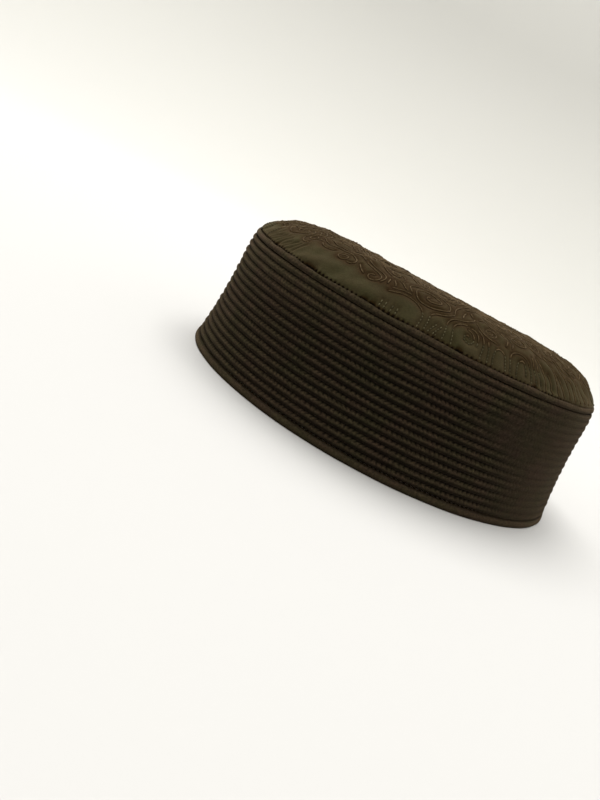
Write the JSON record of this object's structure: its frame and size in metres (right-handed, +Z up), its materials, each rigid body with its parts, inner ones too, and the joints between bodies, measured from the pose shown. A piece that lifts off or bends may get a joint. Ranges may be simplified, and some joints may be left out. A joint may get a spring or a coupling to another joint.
{
  "type": "prayer cap",
  "caption": "Oval prayer cap with a low domed crown in scroll quilting, a tall corded side band, a folded strip at the seam and a plain hem at the rim.",
  "frame": {"origin": "middle of the rim, on the surface that the cap rests on", "axes": "+Z up from the rim to the crown, +X along the cap's length, +Y along its width"},
  "size_m": [0.1938, 0.1822, 0.0727],
  "materials": {
    "crown_cloth": "woven cotton with raised scroll quilting",
    "band_cloth": "woven cotton stitched over cords"
  },
  "bodies": {
    "root": {"crown": "crown_cloth", "seam_fold": "band_cloth", "side_band": "band_cloth", "hem": "band_cloth"}
  },
  "joints": []
}
